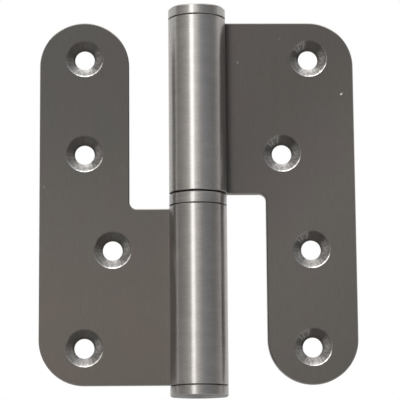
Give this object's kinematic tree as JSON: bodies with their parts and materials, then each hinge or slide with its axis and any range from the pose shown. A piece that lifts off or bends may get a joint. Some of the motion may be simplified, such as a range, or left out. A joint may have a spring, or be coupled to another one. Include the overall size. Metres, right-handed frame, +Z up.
{
  "type": "lift-off door hinge",
  "caption": "Screw-on lift-off hinge opened flat: two J-shaped sheet leaves rolled into knuckles on a fixed pin, with a bearing ring, end caps and countersunk holes.",
  "frame": {"origin": "on the pin's axis, halfway along the barrel", "axes": "+Z up along the pin, in the direction in which the door leaf lifts off; +X across the opened leaves towards the door leaf; the countersunk faces look along -Y"},
  "size_m": [0.088, 0.016, 0.1086],
  "materials": {
    "leaf_steel": "satin, brushed along the leaf and round the barrel",
    "pin_steel": "ground",
    "ring_steel": "turned, satin",
    "cap_steel": "turned, satin"
  },
  "bodies": {
    "frame_half": {"frame_leaf": "leaf_steel", "hinge_pin": "pin_steel", "bottom_cap": "cap_steel"},
    "bearing": {"bearing_ring": "ring_steel"},
    "door_half": {"door_leaf": "leaf_steel", "top_cap": "cap_steel"}
  },
  "joints": [
    {"name": "swing", "type": "hinge", "parent": "frame_half", "child": "bearing", "pos_m": [0, 0, 0], "axis": [0, 0, 1], "range_deg": [-183, 150]},
    {"name": "lift_off", "type": "slide", "parent": "bearing", "child": "door_half", "axis": [0, 0, 1], "range_m": [0, 0.04]}
  ]
}
